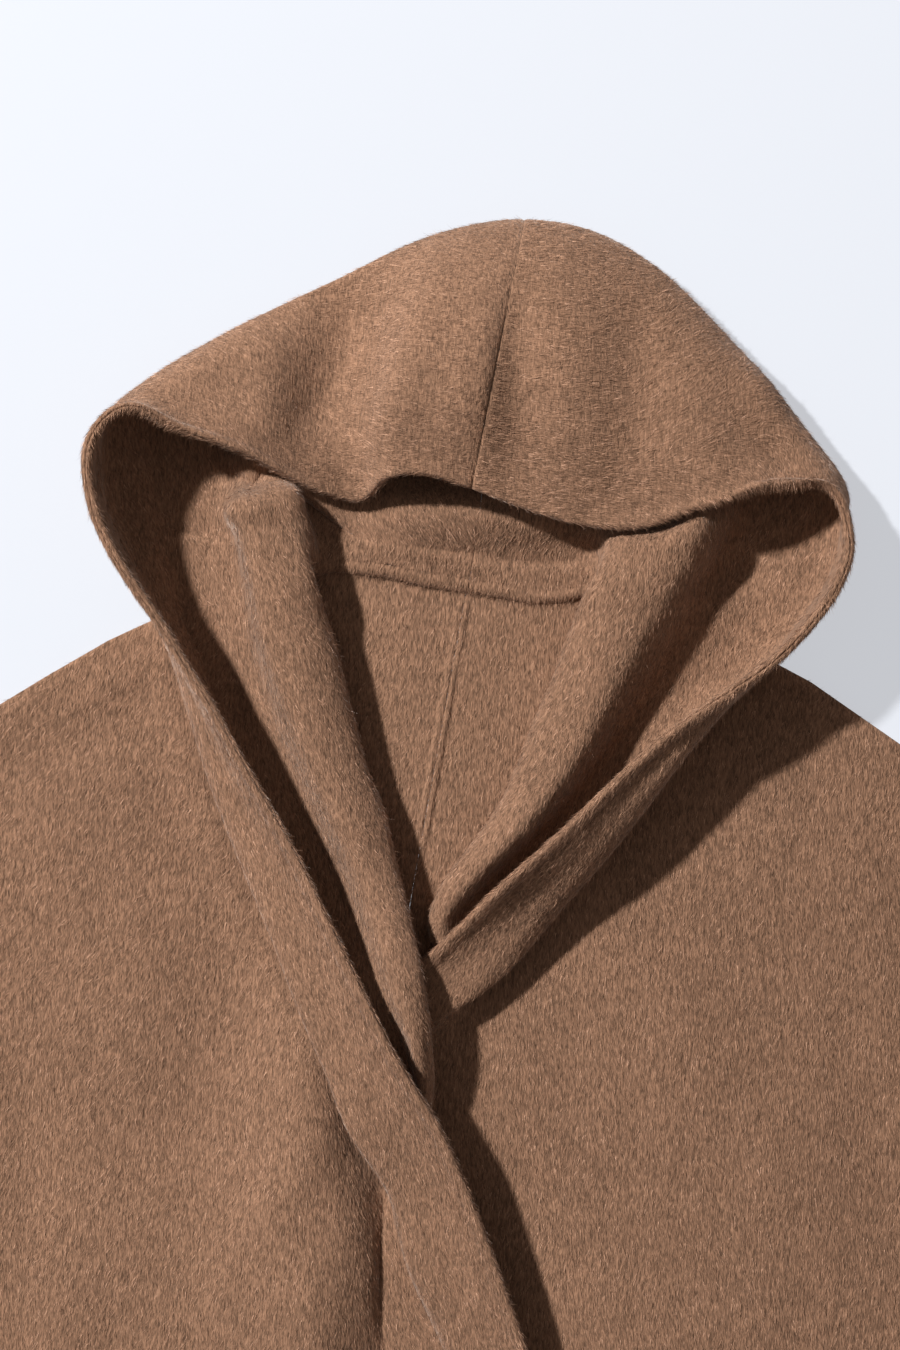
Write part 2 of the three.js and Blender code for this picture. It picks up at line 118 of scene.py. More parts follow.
# ---- section tables, from the free edge inwards ----
# rim x y z, band z, fold x y z, valley x y z, crest x y z, edge x y, tuck, seam x y
SEAM = slice(16, 18)
CENTRE_SECTION = [12, 62, 38, 50, 41, 208, 9, 31, 148, 1.5, 22, 97, 1.5, 16, 45, -16, 10, 4]
RIGHT_SECTIONS = [
    CENTRE_SECTION,
    [-10, 69, 41, 49, 13, 205, 9, 9, 147, 1.5, 5, 96, 1.5, 0, 46, -16, -3, 6],
    [-29, 69, 38, 42, -15, 197, 9, -15, 141, 1.5, -16, 94, 1.5, -16, 46, -16, -17, 8],
    [-48, 56, 17, 30, -53, 180, 9, -46, 128, 1.5, -42, 87, 2, -38, 45, -14, -32, 12],
    [-73, 61, 22, 27, -99, 157, 10, -82, 122, 1.5, -70, 88, 6, -56, 44, -8, -47, 14],
    [-112, 80, 37, 33, -141, 133, 12, -114, 98, 2, -100, 80, 26, -84, 60, -4, -63, 15],
    [-149, 94, 46, 40, -169, 114, 15, -128, 82, 3, -112, 64, 32, -80, 47, -13, -72, 13.5],
    [-178, 103, 54, 44, -187, 99, 20, -128, 66, 4, -115, 51, 35, -79, 34, -11, -78, 12.5],
    [-195, 85, 58, 42, -191, 84, 22, -123, 51, 5, -113, 39, 36, -77, 23, -6, -85, 11],
    [-193, 50, 58, 41, -188, 51, 20, -120, 31, 7, -109, 22, 36, -73, 8, -7, -101, 5.5],
    [-181, 23, 57, 41, -177, 24, 24, -116, 6, 8.6, -103, -1, 36, -68, -10, 8, -129, -2],
    [-164, -4, 55, 39, -164, -5, 26, -112, -19, 9, -97, -23, 35, -62, -29, 8, -150, -5],
    [-148, -29, 52, 37, -152, -30, 25, -106, -42, 9, -91, -45, 34, -57, -50, 8, -187, -22],
    [-131, -56, 50, 36, -143, -58, 25, -99, -67, 9, -82, -68, 33, -52, -70, 8, -220, -41],
    [-110, -94, 48, 35, -131, -98, 25, -87, -96, 9, -71, -94, 32, -46, -92, 8, -258, -64],
    [-92, -125, 46, 35, -119, -130, 25, -74, -127, 9, -58, -123, 32, -36, -118, 8, -285, -80],
    [-78, -152, 45, 35, -108, -157, 25, -62, -153, 9.5, -47, -149, 33, -30, -144, 8, -280.8, -130],
    [-63, -183, 47, 36, -95, -187, 28, -51, -182, 17, -38, -178, 38, -23, -172, 6, -276.6, -180],
    [-45, -220, 49, 38, -82, -223, 30, -38, -217, 25, -27, -213, 42, -15, -209, 5, -271.6, -240],
    [-28, -253, 48, 38, -68, -256, 30, -24, -249, 21, -18, -246, 38, -11, -242, 4, -267.4, -290],
    [-7, -287, 45, 35, -55, -290, 28, -20, -282, 17, -15, -281, 22, -11, -278, 4, -264, -330],
    [8, -321, 41, 32, -32, -325, 24, -30, -322, 15.5, -29, -320, 12.5, -29, -318, -3, -266, -380],
    [25, -366, 38, 30, -22, -364, 21.5, -25, -361, 12.6, -30, -360, 11.6, -36, -359, -5, -268, -430],
    [42, -413, 33, 27, -2, -407, 18.5, -12, -406, 12.4, -22, -405, 11, -32, -404, -8, -272, -490],
    [69, -479, 24, 21, 24, -470, 14.5, 8, -468, 11, -4, -467, 10, -16, -466, -12, -279, -580],
    [99, -572, 15, 14, 52, -566, 11, 34, -566, 10, 20, -566, 10, 6, -566, -16, -287, -680],
    [117, -688, 11, 11, 72, -686, 10, 54, -686, 9, 40, -686, 9, 26, -686, -18, -294, -780],
    [120, -825, 10, 10, 76, -825, 9, 58, -825, 9, 44, -825, 9, 30, -825, -20, -298, -880],
    [120, HEM_Y, 9, 9, 76, HEM_Y, 9, 58, HEM_Y, 9, 44, HEM_Y, 9, 30, HEM_Y, -20, -302, HEM_Y],
]
LEFT_SECTIONS = [
    CENTRE_SECTION,
    [41, 51, 35, 45, 77, 202, 9, 62, 148, 1.5, 49, 93, 1.5, 38, 42, -14, 28, 1],
    [74, 42, 33, 41, 110, 184, 9, 93, 132, 1.5, 78, 84, 2, 62, 38, -12, 44, -2],
    [105, 41, 36, 40, 139, 157, 9, 124, 114, 2, 108, 74, 10, 78, 36, -8, 62, -1],
    [137, 52, 38, 39, 167, 123, 9, 151, 84, 3, 132, 56, 28, 88, 37, -16, 78, 3],
    [174, 60, 34, 30, 191, 87, 9, 163, 60, 4, 134, 38, 34, 83, 23, -10, 88, 5],
    [203, 53, 30, 24, 210, 54, 12, 158, 38, 5, 129, 22, 35, 79, 12, -5, 100, 1],
    [217, 32, 36, 28, 213, 31, 15, 149, 17, 6, 119, 7, 36, 73, 1, -5, 116, -5],
    [210, 7, 46, 33, 206, 8, 17, 139, -4, 8, 110, -9, 36, 68, -12, 8, 140, -15],
    [192, -17, 52, 35, 189, -15, 18, 129, -22, 9, 101, -26, 35, 63, -26, 8, 168, -29],
    [175, -34, 51, 37, 175, -35, 24, 117, -41, 9, 91, -44, 34, 57, -43, 8, 198, -45],
    [148, -53, 51, 44, 152, -57, 34, 102, -62, 9, 79, -65, 33, 48, -63, 8, 231, -68],
    [118, -74, 50, 46, 132, -79, 39, 86, -84, 9, 67, -87, 33, 39, -87, 8, 264, -91],
    [88, -101, 49, 44, 110, -108, 35, 68, -108, 9, 52, -110, 33, 29, -110, 8, 285, -107],
    [60, -128, 47, 40, 87, -138, 28, 46, -131, 9, 34, -131, 32, 15, -131, 8, 280.7, -157],
    [30, -155, 42, 33, 60, -169, 22, 22, -155, 9, 13, -153, 27, -3, -155, 7, 276.4, -207],
    [3, -182, 31, 25, 30, -204, 18, 2, -182, 12, -5, -180, 16, -11, -181, 2, 271.7, -262],
    [-20, -204, 20, 19, 0, -225, 18, 1, -223, 14, 3, -221, 11, 6, -220, -4, 267.4, -312],
    [-50, -233, 12, 12, -36, -243, 12, -31, -245, 11, -26, -246, 9.5, -21, -246, -5, 264, -352],
    [-63, -246, 9.5, 9.5, -54, -252, 9, -50, -253, 7.5, -47, -254, 6.4, -43, -255, -4, 265, -390],
    [-90, -280, 5.4, 5.3, -74, -284, 5.2, -66, -285, 5.1, -58, -286, 5, -50, -287, -10, 267, -440],
    [-112, -340, 5, 5, -90, -344, 5, -78, -345, 4.8, -66, -346, 4.8, -54, -347, -14, 270, -500],
    [-120, -440, 5, 5, -92, -446, 5, -78, -448, 4.8, -64, -450, 4.8, -50, -452, -18, 277, -590],
    [-120, -620, 5, 5, -92, -624, 5, -78, -626, 4.8, -64, -628, 4.8, -50, -630, -20, 288, -720],
    [-120, -810, 5, 5, -92, -812, 5, -78, -813, 4.8, -64, -814, 4.8, -50, -815, -20, 296, -860],
    [-120, HEM_Y, 5, 5, -92, HEM_Y, 5, -78, HEM_Y, 4.8, -64, HEM_Y, 4.8, -50, HEM_Y, -20, 302, HEM_Y],
]

# Broad soft folds: middle x y, direction in degrees, half length, half width, rise.
RIGHT_FOLDS = [
    [-215, -120, 35, 70, 30, 4],
    [-190, -260, 75, 110, 42, 6],
    [-72, -376, 94, 106, 28, 26],
    [-215, -430, 100, 110, 38, 5],
    [-120, -560, 78, 150, 40, 6],
    [-30, -640, 96, 170, 34, 5],
    [-210, -760, 84, 170, 44, 6],
    [60, -830, 92, 140, 30, 4],
]
LEFT_FOLDS = [
    [200, -150, 140, 70, 34, 4],
    [120, -250, 128, 90, 36, 4],
    [215, -330, 102, 100, 36, 5],
    [110, -420, 96, 120, 34, 5],
    [225, -560, 86, 150, 38, 6],
    [165, -760, 94, 170, 36, 5],
]
CROSSING_FOLDS = [
    [-21, -208, 122, 46, 27, 17.5],
    [-54, -244, 130, 38, 32, 7.5],
]
UNDER_EDGE = [
    [-18, -202], [-42, -226], [-63, -246], [-90, -280], [-112, -340], [-120, -440], [-120, HEM_Y],
]
RIGHT_NECK_ROWS = 9
LEFT_NECK_ROWS = 7

# Sleeve sections from the armhole to the cuff: upper fold x y, under fold x y, height.
RIGHT_SLEEVE = [
    [-285.3, -80, -264.3, -330, 7],
    [-307, -103, -265, -352, 8.4],
    [-333, -148, -268, -384, SLEEVE_HEIGHT],
    [-358, -212, -273, -420, SLEEVE_HEIGHT],
    [-381, -290, -280, -458, SLEEVE_HEIGHT],
    [-402, -372, -287, -496, SLEEVE_HEIGHT],
    [-421, -450, -294, -532, 8.6],
    [-436, -520, -300, -562, 7.6],
]
LEFT_SLEEVE = [
    [285.3, -107, 264.3, -352, 7],
    [306, -131, 265, -374, 8.4],
    [330, -175, 268, -406, SLEEVE_HEIGHT],
    [354, -238, 273, -442, SLEEVE_HEIGHT],
    [377, -314, 280, -480, SLEEVE_HEIGHT],
    [398, -394, 287, -518, SLEEVE_HEIGHT],
    [417, -472, 294, -554, 8.6],
    [432, -540, 300, -584, 7.6],
]

# ---- creases ----
# Start x y, end x y, half width, height (a trough where it is below zero), by layer of the cloth:
# band (rim to outer fold, and the crown), inside (fold to the roll's edge), panel.
RIGHT_CREASES = {
    "band": [
        # the crown: a deep hollow, the ridge beside the seam, and low waves out to the rim
        [-52, 158, -70, 100, 21, -15.0],
        [-8, 172, -38, 76, 12, 6.5],
        [-100, 140, -96, 96, 16, 4.0],
        [-166, 108, -112, 138, 11, 5.0],
        [-158, 112, -136, 92, 9, -1.6],
        [-170, 20, -152, -28, 5, -1.0],
        [-128, -88, -112, -122, 5, -0.9],
        [-100, -170, -84, -208, 6, 0.9],
        [-66, -262, -40, -312, 6, -0.9],
        [-30, -340, -6, -386, 7, 0.9],
    ],
    "inside": [
        # the neck roll: a dent with a lip at its top, a narrowed outer side, a peak at its inner edge
        [-120, 66, -98, 72, 8, -18.0],
        [-122, 46, -102, 53, 4.5, 5.0],
        [-156, 96, -142, 0, 9, -12.0],
        [-142, 0, -120, -62, 8, -9.0],
        [-90, 58, -86, 52, 5, 7.0],
        [-142, 76, -138, 40, 6, -6.0],
        [-112, 34, -106, -8, 8, -1.2],
        [-84, 10, -68, -60, 7, 1.2],
        [-98, -40, -78, -84, 6, -1.0],
        [-60, -96, -48, -128, 6, 1.0],
        [-48, -140, -34, -184, 5, -0.8],
    ],
    "panel": [
        # the turned band's outer edge, and the pleat that runs down beside it
        [-160, -32, -140, -98, 6, 5.0],
        [-138, -100, -106, -186, 6, 5.5],
        [-104, -190, -74, -262, 7, 7.0],
        [-60, -256, -15, -376, 13, -3.5],
        [-20, -350, 8, -440, 13, -3.0],
        [-84, -256, -42, -384, 17, 6.0],
        [-44, -370, -20, -440, 17, 4.5],
        [-110, -290, -80, -440, 28, 4.0],
        # soft wrinkles at the shoulder and across the panel
        [-262, -226, -142, -318, 26, -5.0],
        [-160, -330, -120, -400, 24, 4.0],
        [-150, -18, -205, -62, 10, 1.6],
        [-170, -60, -240, -96, 13, -1.5],
        [-205, -150, -150, -214, 15, 1.5],
        [-232, -230, -196, -330, 14, -1.6],
        [-150, -260, -118, -330, 13, -1.4],
        [-178, -352, -150, -430, 15, 1.8],
        [-60, -540, -20, -700, 22, 3.0],
        [-170, -600, -150, -820, 26, -2.6],
        [-250, -640, -236, -900, 18, 2.2],
        [10, -720, 24, -960, 20, -2.2],
    ],
}
LEFT_CREASES = {
    "band": [
        # the crown: a trough beside the seam, and ridges that keep it full out to its edge
        [34, 156, 38, 78, 15, -7.0],
        [150, 58, 204, 52, 14, 9.0],
        [158, 124, 206, 58, 9, 9.0],
        [62, 168, 74, 70, 20, 2.6],
        [104, 160, 96, 66, 14, -2.4],
        [138, 142, 132, 66, 14, 2.0],
        [172, 108, 186, 70, 9, -1.4],
        [196, 40, 190, 6, 6, -1.0],
        [124, -74, 96, -104, 7, -1.0],
        [74, -126, 48, -152, 6, 1.0],
    ],
    "inside": [
        # top of the neck roll: two peaks with a saddle, and the lobe that comes up from the neck
        [92, 46, 86, 40, 6, 7.0],
        [104, 50, 120, 45, 8, -16.0],
        [134, 42, 130, 34, 8, 5.0],
        [60, 2, 78, 36, 7, 4.5],
        [84, 38, 82, 22, 3.4, -4.5],
        [96, 6, 62, -40, 8, 1.4],
        [116, -12, 84, -62, 7, -1.4],
        [150, -4, 122, -44, 7, 1.2],
        [56, -70, 34, -104, 6, 1.0],
    ],
    "panel": [
        # soft wrinkles at the shoulder and across the panel
        [170, -52, 238, -84, 9, 1.6],
        [150, -110, 226, -150, 14, -1.6],
        [96, -180, 150, -260, 15, 1.7],
        [206, -200, 232, -300, 15, -1.7],
        [60, -250, 84, -360, 13, -1.4],
        [160, -330, 172, -430, 16, 1.8],
        [120, -540, 140, -720, 22, 2.8],
        [210, -600, 226, -840, 24, -2.6],
        [40, -700, 52, -940, 20, 2.2],
    ],
}

# Which way the nap is combed: x, y, direction in degrees, by half of the coat and layer.
COMB = {
    ("right", "band"): [
        [-110, 115, 150], [-20, 140, 176], [0, 90, 176], [-186, 60, -74], [-150, -25, -66],
        [-115, -137, -65], [-60, -250, -66], [0, -340, -72], [60, -460, -84],
    ],
    ("right", "inside"): [
        [-82, -27, -62], [-180, 60, -66], [-60, -120, -64], [-20, -250, -70], [-30, 60, -62],
        [-110, 60, -75],
    ],
    ("right", "panel"): [
        [-203, -66, -122], [-176, -192, -118], [-55, -330, -92], [-180, -380, -108],
        [-120, -800, -94],
    ],
    ("left", "band"): [
        [132, 121, 35], [30, 150, -4], [30, 90, 2], [206, 40, -80], [170, -30, -124],
        [82, -126, -130], [10, -200, -128],
    ],
    ("left", "inside"): [
        [82, -11, -118], [190, 20, -112], [60, -100, -124], [40, 60, -116], [120, 40, -112],
    ],
    ("left", "panel"): [
        [240, -70, -110], [176, -192, -98], [60, -300, -92], [150, -800, -90],
    ],
    ("back", "panel"): [
        [-27, -38, -118], [60, -40, -104],
    ],
}


def smooth(t):
    """Ease from 0 to 1."""
    s = np.clip(t, 0.0, 1.0)
    return s * s * (3 - 2 * s)


def mix(a, b, t):
    """Straight blend from a to b."""
    return a + (b - a) * t


def through(points, steps):
    """Centripetal Catmull-Rom curve through points along axis 0, with steps[i] spans after point i.

    Each span is a cubic whose end slopes come from the neighbours, weighted by the square root
    of the distance between them.
    """
    first = 2 * points[0] - points[1]
    last = 2 * points[-1] - points[-2]
    p = np.concatenate([first[None], points, last[None]])
    gap = np.sqrt(np.linalg.norm(np.diff(p, axis=0), axis=-1))[..., None]
    out = []
    for i, count in enumerate(steps):
        d1 = np.where(gap[i + 1] < 1e-4, 1.0, gap[i + 1])
        d0 = np.where(gap[i] < 1e-4, d1, gap[i])
        d2 = np.where(gap[i + 2] < 1e-4, d1, gap[i + 2])
        a, b, c, d = p[i], p[i + 1], p[i + 2], p[i + 3]
        slope_b = ((b - a) / d0 - (c - a) / (d0 + d1) + (c - b) / d1) * d1
        slope_c = ((c - b) / d1 - (d - b) / (d1 + d2) + (d - c) / d2) * d1
        for u in np.arange(count) / count:
            cubic = (2 * b - 2 * c + slope_b + slope_c) * u ** 3
            out.append(cubic + (3 * c - 3 * b - 2 * slope_b - slope_c) * u ** 2 + slope_b * u + b)
    out.append(points[-1])
    return np.stack(out)


def straight(points, steps):
    """The same on straight spans."""
    out = []
    for i, count in enumerate(steps):
        for u in np.arange(count) / count:
            out.append(mix(points[i], points[i + 1], u))
    out.append(points[-1])
    return np.stack(out)


def fold_rise(folds, x, y):
    """Height added by long soft folds: each is a Gaussian ridge along its own direction."""
    rise = np.zeros_like(x)
    for middle_x, middle_y, turn, half_length, half_width, height in folds:
        cos, sin = math.cos(math.radians(turn)), math.sin(math.radians(turn))
        along = ((x - middle_x) * cos + (y - middle_y) * sin) / half_length
        across = ((y - middle_y) * cos - (x - middle_x) * sin) / half_width
        rise += height * np.exp(-along ** 2 - across ** 2)
    return rise


def right_panel_height(x, y):
    """Mid height of the right front: on the back, or over the left front's hidden edge."""
    edge = np.array(UNDER_EDGE, float)
    over = smooth((x - np.interp(-y, -edge[:, 1], edge[:, 0]) + 65) / 40) * smooth((-185 - y) / 25)
    rise = fold_rise(CROSSING_FOLDS, x, y)
    return SECOND_LAYER + (THIRD_LAYER + SEAM_GAP - SECOND_LAYER) * over + rise


def left_panel_height(x, _y):
    """Mid height of the left front, on the back."""
    return np.full_like(x, SECOND_LAYER)


def hood_height(x, y):
    """Mid height of the hood's lower layer: on the surface, or lapped over the back's neck edge."""
    right = np.array(RIGHT_SECTIONS, float)[RIGHT_NECK_ROWS:0:-1, SEAM]
    line = np.concatenate([right, np.array(LEFT_SECTIONS, float)[:LEFT_NECK_ROWS + 1, SEAM]])
    above = y - np.interp(x, line[:, 0], line[:, 1])
    return mix(FIRST_LAYER, SECOND_LAYER, smooth((3.2 * SEAM_LAP - above) / SEAM_LAP))


def section_points(table, neck_rows, panel_height, folds):
    """The 16 points of each section, from the rim to the sewn edge, as an array of rows."""
    row = np.array(table, float)
    on_hood = np.arange(len(row)) <= neck_rows
    rim, band_z, fold, valley = row[:, 0:3], row[:, 3], row[:, 4:7], row[:, 7:10]
    crest, edge, tuck, seam = row[:, 10:13], row[:, 13:15], row[:, 15:16], row[:, SEAM]
    to_crest = crest[:, :2] - edge
    to_crest = to_crest / np.linalg.norm(to_crest, axis=1, keepdims=True)
    reach = np.clip(-tuck / np.linalg.norm(edge - seam, axis=1, keepdims=True), 0, 1)
    foot = np.where(tuck < 0, mix(edge, seam, reach), edge + to_crest * tuck)
    stand = NECK_STAND * smooth((crest[:, 2] - 24) / 10) * on_hood
    foot_z = stand + np.where(on_hood, hood_height(*foot.T), panel_height(*foot.T))
    edge_z = np.where(crest[:, 2] <= 2.5, FIRST_LAYER, mix(foot_z, crest[:, 2], 0.62))

    def joined(xy, z):
        return np.column_stack([xy, z])

    def sewn_side(share, xy):
        """Height of the layer between the foot and the seam, at the share of the way."""
        fade = smooth(share * 8 - 0.4) * smooth((0.88 - share) * 5)
        lying = mix(foot_z, panel_height(*xy.T), smooth(share * 5)) + fold_rise(folds, *xy.T) * fade
        return np.where(on_hood, hood_height(*xy.T) + stand * (1 - share), lying)

    def clear_of(point, gap):
        """The point, lifted clear of that layer where it lies above it."""
        run = seam - foot
        share = ((point[:, :2] - foot) * run).sum(axis=1) / (run ** 2).sum(axis=1)
        least = np.where(~on_hood & (share > 0), sewn_side(share, point[:, :2]) + CLOTH + gap, 0)
        return joined(point[:, :2], np.maximum(point[:, 2], least))

    under = joined(mix(fold, valley, 0.22)[:, :2], mix(valley[:, 2], fold[:, 2], 0.25))
    points = [
        rim,
        joined(mix(fold, rim, 0.55)[:, :2], band_z),
        joined(mix(fold, rim, 0.15)[:, :2], mix(fold[:, 2], band_z, 0.55)),
        fold,
        clear_of(under, LAYER_LIFT),
        clear_of(valley, 1.6 * LAYER_LIFT),
        crest,
        joined(edge, edge_z),
        joined(foot, foot_z),
    ]
    for share in PANEL_SHARES:
        xy = mix(foot, seam, share)
        z = sewn_side(share, xy) if share < 1 else np.full(len(row), SECOND_LAYER)
        points.append(joined(xy, z))
    return np.stack(points, axis=1)


def softened(grid, keep, rounds):
    """The grid averaged with its neighbours along and across, where keep is below 1."""
    for _ in range(rounds):
        near = grid.copy()
        near[1:-1] = (grid[:-2] + 2 * grid[1:-1] + grid[2:]) / 4
        wide = near.copy()
        wide[:, 1:-1] = (near[:, :-2] + 2 * near[:, 1:-1] + near[:, 2:]) / 4
        grid = mix(wide, grid, keep)
    return grid


def unit(v):
    """Vectors of length one."""
    return v / np.maximum(np.linalg.norm(v, axis=-1, keepdims=True), 1e-9)


def grid_normals(grid):
    """Unit normals of a grid: its slope along the rows crossed with its slope across them."""
    return unit(np.cross(np.gradient(grid, axis=0), np.gradient(grid, axis=1)))


def near_line(x, y, start, end, width):
    """1 on a line from start to end, a Gaussian to its sides and rounded off past its ends."""
    run = np.array(end, float) - np.array(start, float)
    length = np.hypot(*run)
    half = length / 2 + width * 0.7
    middle_x, middle_y = (start[0] + end[0]) / 2, (start[1] + end[1]) / 2
    along = ((x - middle_x) * run[0] + (y - middle_y) * run[1]) / length
    across = ((x - middle_x) * run[1] - (y - middle_y) * run[0]) / length
    return np.exp(-(across / width) ** 2 - (along / half) ** 4)


def layer_weights(column):
    """How far each column of a section belongs to the band, the inside and the panel."""
    return {
        "band": smooth((3.2 - column) * 2),
        "inside": smooth((column - 3.2) * 2) * smooth((7.3 - column) * 3),
        "panel": smooth((column - 7.8) * 2) * smooth((14.6 - column) * 2),
    }


LAYER_SIDE = {"band": 1.0, "inside": -1.0, "panel": 1.0}


def creased(grid, column, centre):
    """The grid moved along its normals by the tables of creases, each on its own layer and half."""
    weights = layer_weights(column)
    rows = np.arange(len(grid))[:, None]
    halves = ((RIGHT_CREASES, rows <= centre), (LEFT_CREASES, rows >= centre))
    normal = grid_normals(grid)
    x, y = grid[..., 0], grid[..., 1]
    move = np.zeros_like(x)
    for creases, here in halves:
        for layer, rows_here in creases.items():
            for x0, y0, x1, y1, width, height in rows_here:
                line = near_line(x, y, (x0, y0), (x1, y1), width)
                move += LAYER_SIDE[layer] * height * line * weights[layer] * here
    return grid + normal * move[..., None]


def felled(grid, column, on_hood):
    """The hood's sewn edge, turned in: a low ridge along the neck seam, its edge down on the back,
    and the lower layer rising softly from there into the hood."""
    from_edge = np.linalg.norm(grid - grid[:, -1:], axis=-1)
    ridge = 0.45 * np.exp(-((from_edge - 4) / 2.6) ** 2)
    ridge -= 0.35 * np.exp(-((from_edge - 7.4) / 0.9) ** 2)
    drop = 1.5 * smooth((3.6 - from_edge) / 3.6)
    x, y = grid[..., 0], grid[..., 1]
    rise = 15.0 * np.exp(-((y - 48) / 21) ** 2 - ((x - 10) / 58) ** 4) * (column > 5.2)
    grid[..., 2] += ((ridge - drop) * smooth((column - 8.2) * 2) + rise) * on_hood[:, None]
    return grid


def fronts_grid():
    """The mid surface of both fronts and the hood, the row of the hood's centre seam, and each
    column's place in the section, counted in section points."""
    right = section_points(RIGHT_SECTIONS, RIGHT_NECK_ROWS, right_panel_height, RIGHT_FOLDS)
    left = section_points(LEFT_SECTIONS, LEFT_NECK_ROWS, left_panel_height, LEFT_FOLDS)
    sections = np.concatenate([right[::-1], left[1:]])
    profiles = through(sections.transpose(1, 0, 2), ACROSS).transpose(1, 0, 2)
    apart = np.linalg.norm(np.diff(sections[:, (0, 3, 5, 7)], axis=0), axis=-1).mean(axis=1)
    in_view = np.maximum(sections[1:, 0, 1], sections[:-1, 0, 1]) > VIEW_LOW_Y
    steps = np.ceil(apart / np.where(in_view, FINE_ROW, PLAIN_ROW)).astype(int)
    column = np.concatenate([i + np.arange(n) / n for i, n in enumerate(ACROSS)] + [[15.0]])
    sewn = smooth((column - 13.5) / 1.5)[None, :, None]
    grid = mix(through(profiles, steps), straight(profiles, steps), sewn)
    centre = int(steps[:len(RIGHT_SECTIONS) - 1].sum())
    grid = softened(creased(grid, column, centre), sewn, 4)
    station = np.concatenate([i + np.arange(n) / n for i, n in enumerate(steps)] + [[len(steps)]])
    station -= len(RIGHT_SECTIONS) - 1
    on_back = (station < -RIGHT_NECK_ROWS) | (station > LEFT_NECK_ROWS)
    lowest = np.where(on_back, SECOND_LAYER - CREASE_SINK, FIRST_LAYER)
    grid[..., 2] = np.maximum(grid[..., 2], lowest[:, None])
    return felled(grid, column, ~on_back), centre, column


# ---- closed walls ----
RIM_ANGLES = np.radians(np.linspace(78, -78, 21))
END_ROWS = ((0.0, 0.6), (0.4, 0.84), (1.0, 0.97))  # distance from the end in mm, share of thickness


def rounded_end(half):
    """Extra rows at the start of a half, so that its end can be rounded: the rows, and the share
    of the full thickness that each has."""
    step = np.linalg.norm(half[1] - half[0], axis=-1).mean()
    extra = [mix(half[0], half[1], distance / step) for distance, _ in END_ROWS]
    share = [part for _, part in END_ROWS] + [1.0] * (len(half) - 1)
    return np.concatenate([np.stack(extra), half[1:]]), np.array(share)


def wall_rings(grid, column, share, half_thickness, rim_half):
    """Closed rings round the cloth, one per row: its upper side from the sewn edge to the rim, the
    rounded rim with a fine groove between its two folded-in edges, and back underneath.

    Each side keeps every column where it can be seen and every other one where it can't. Returns
    the rings, each ring point's place in the section, and the faces that close a flat end.
    """
    normal = grid_normals(grid)
    out_rim = unit(grid[:, 0] - grid[:, 1])
    run = np.linalg.norm(np.diff(grid, axis=1), axis=-1).cumsum(axis=1)
    run = np.concatenate([np.zeros((len(grid), 1)), run], axis=1)
    swell = (rim_half - half_thickness) * np.exp(-(run / 5.0) ** 4)
    swell -= 0.5 * np.exp(-((run - 5.6) / 1.0) ** 2)
    thin = 1 - 0.75 * smooth((column - 14.5) * 2)
    half = ((half_thickness + swell) * thin * share[:, None])[..., None]
    index = np.arange(grid.shape[1])
    seen_above = (column < 3.6) | (column > 6.8)
    upper = index[seen_above | (index % 2 == 0)][::-1]
    lower = index[~seen_above | (index % 2 == 0)]
    groove = 1 - 0.45 * np.exp(-(RIM_ANGLES / 0.17) ** 2)
    out = out_rim[:, None] * (RIM_WIDTH * np.cos(RIM_ANGLES) * groove)[None, :, None]
    lift = normal[:, :1] * (rim_half * np.sin(RIM_ANGLES))[None, :, None] * share[:, None, None]
    rings = np.concatenate([(grid + normal * half)[:, upper], grid[:, :1] + out + lift,
                            (grid - normal * half)[:, lower]], axis=1)
    places = np.concatenate([column[upper], np.zeros(len(RIM_ANGLES)), column[lower]])
    # Above and below are paired by column, so a side that skips one closes with a triangle.
    above = len(upper) - np.searchsorted(upper[::-1], index, side="right")
    below = len(upper) + len(RIM_ANGLES) + np.searchsorted(lower, index, side="right") - 1
    round_rim = np.arange(len(upper) - 1, len(upper) + len(RIM_ANGLES) // 2 + 1)
    mirror = len(upper) * 2 + len(RIM_ANGLES) - 1 - round_rim
    above = np.concatenate([round_rim[::-1], above[1:]])
    below = np.concatenate([mirror[::-1], below[1:]])
    ends = np.stack([above[1:], above[:-1], below[:-1], below[1:]], axis=-1)
    return rings, places, ends


def as_polygons(quads):
    """Quads with a repeated corner become triangles: the spare corner is marked with -1."""
    quads = quads.copy()
    for corner in range(4):
        same = quads[:, corner] == quads[:, (corner + 1) % 4]
        quads[same, corner] = -1
    return quads[(quads >= 0).sum(axis=1) > 2]


def ring_faces(rows, count):
    """Quads round stacked rings of points."""
    i, k = np.meshgrid(np.arange(rows - 1), np.arange(count), indexing="ij")
    a, b = i * count + k, i * count + (k + 1) % count
    return np.stack([a, b, b + count, a + count], axis=-1).reshape(-1, 4)


